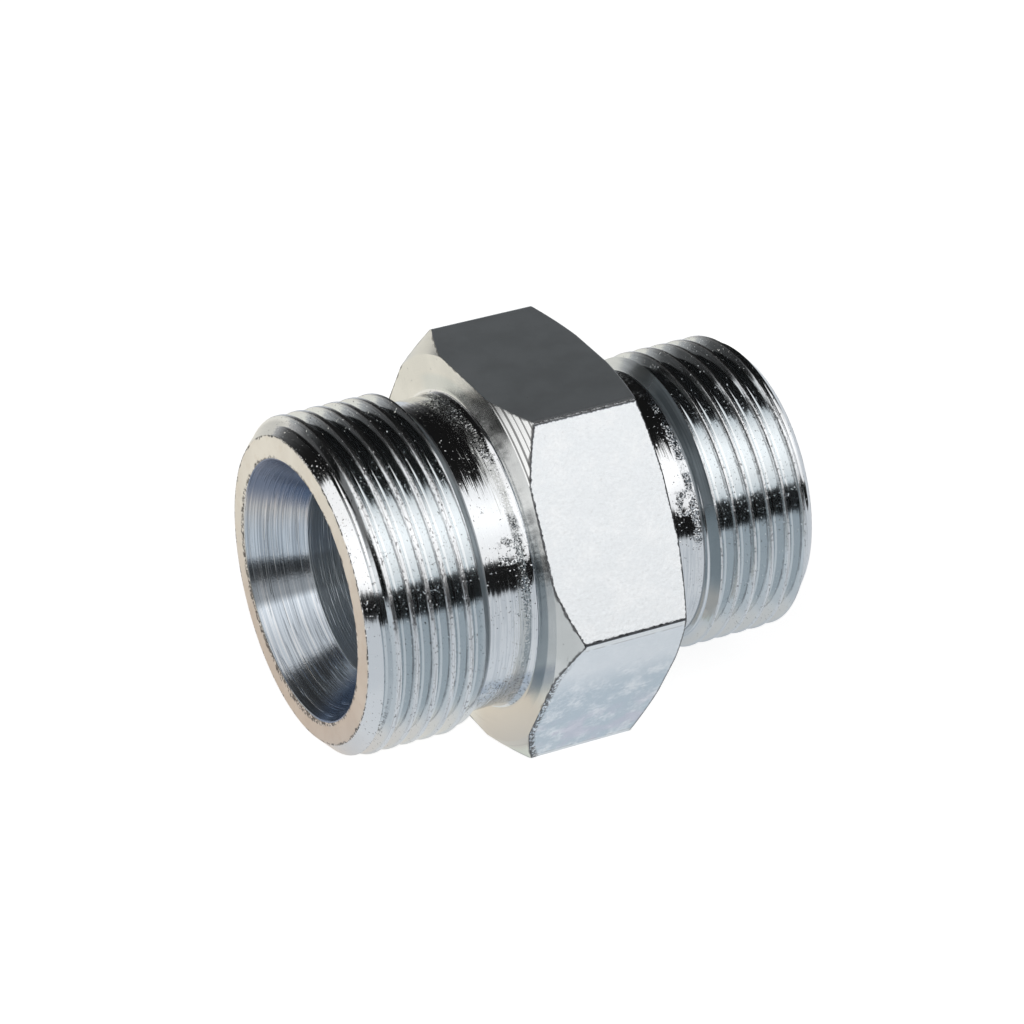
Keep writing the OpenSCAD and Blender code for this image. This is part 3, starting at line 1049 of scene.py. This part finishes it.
# %% Bored zinc
bored, tree, shader = new_finish("bored_zinc")
at = place_on_part(tree)
feed = lathe_marks(tree, at, 0.07, 12.0, radial=0.0, detail=3.0)
scores = rise(tree, lathe_marks(tree, at, 0.09, 6.0, radial=0.0, detail=1.0), 0.60, 0.68)
normal = bumps(tree, feed, 0.030)
normal = bumps(tree, scores, 0.020, normal)
normal = bumps(tree, spots(tree, at, 0.12), 0.006, normal)
tree.links.new(normal, shader.inputs["Normal"])
colour = tinted(tree, rise(tree, feed, 0.36, 0.62), (0.42, 0.47, 0.525), (0.69, 0.755, 0.82))
bright_line = rise(tree, lathe_marks(tree, at, 0.07, 9.0, radial=0.0, detail=1.0), 0.60, 0.66)
colour = mix_in(tree, colour, bright_line, (0.86, 0.88, 0.90))
upwards = turned_to(tree, at, -97.0)
# painted reflection: navy where the walls mirror each other at the top and the bottom
navy_reflection = rise(tree, calc(tree, "ABSOLUTE", upwards), 0.78, 0.95)
colour = mix_in(tree, colour, navy_reflection, (0.20, 0.31, 0.53), 0.9)
# painted shade: darker at the top of the bore
colour = mix_in(tree, colour, rise(tree, upwards, 0.80, 0.95, 0.0, 0.35), (0.10, 0.13, 0.20))
# painted shade: darker towards the bottom of the bore
dim_side = on_side(tree, at, 140.0, 0.72, 0.95)
colour = mix_in(tree, colour, dim_side, (0.25, 0.27, 0.295), 0.45)
# painted shade: darker on the back wall of the bore
dark_side = on_side(tree, at, -172.0, 0.975, 0.992)
colour = mix_in(tree, colour, dark_side, (0.09, 0.10, 0.11), 0.7)
straight = band(tree, at["along"], 4.25, 36.0, 0.05)
colour = mix_in(tree, colour, straight, (0.60, 0.64, 0.66), 0.6)
tree.links.new(colour, shader.inputs["Base Color"])
roughness = calc(tree, "MULTIPLY_ADD", feed, 0.12, 0.13)
roughness = calc(tree, "MULTIPLY_ADD", straight, 0.20, roughness)
tree.links.new(roughness, shader.inputs["Roughness"])
shader.inputs["Metallic"].default_value = 0.9
print("bored zinc:", len(tree.nodes), "nodes")

# %% [markdown]
# ## Which face gets which finish
# Each face of the mesh picks its finish by where it is and which way it faces, so a finish ends
# exactly where the tool's work ended. The distances have a little slack, because a face is placed by
# its centre.

# %% Finishes on the mesh
SLACK = 0.05
finishes = [turned, drawn, faced, bored, ended, dull]
for finish in finishes:
    coupling.data.materials.append(finish)
counts = [0] * len(finishes)
for face in coupling.data.polygons:
    place = face.center.x * 1000 + LENGTH / 2
    radius = math.hypot(face.center.y, face.center.z) * 1000
    to_end = min(place, LENGTH - place)
    lean = abs(face.normal.x)
    at_near_end = place < LENGTH / 2
    mouth_r = (LARGE_END if at_near_end else SMALL_END)["mouth_r"] + 2 * EDGE_BREAK + 0.02
    looks_in = (face.normal.x > 0) == at_near_end
    on_slope = SMALL_END["crest_end"] < to_end < LARGE_END["neck_start"] and lean > 0.55
    if radius < mouth_r and lean < 0.95:
        pick_finish = finishes.index(bored)
    elif to_end > SHOULDER - SLACK and lean < 0.1:
        pick_finish = finishes.index(drawn)
    elif to_end > SHOULDER - SLACK:
        pick_finish = finishes.index(faced)
    elif to_end < EDGE_BREAK - 0.02 and lean > 0.5:
        pick_finish = finishes.index(ended)
    elif on_slope and looks_in and radius > SMALL_END["neck_r"] + SLACK:
        pick_finish = finishes.index(dull)
    else:
        pick_finish = finishes.index(turned)
    face.material_index = pick_finish
    counts[pick_finish] += 1
print("faces by finish:", dict(zip([finish.name for finish in finishes], counts)))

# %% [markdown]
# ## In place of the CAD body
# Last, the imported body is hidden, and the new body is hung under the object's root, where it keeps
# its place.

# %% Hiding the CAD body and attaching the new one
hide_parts("coupling_body")
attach(coupling, "root")
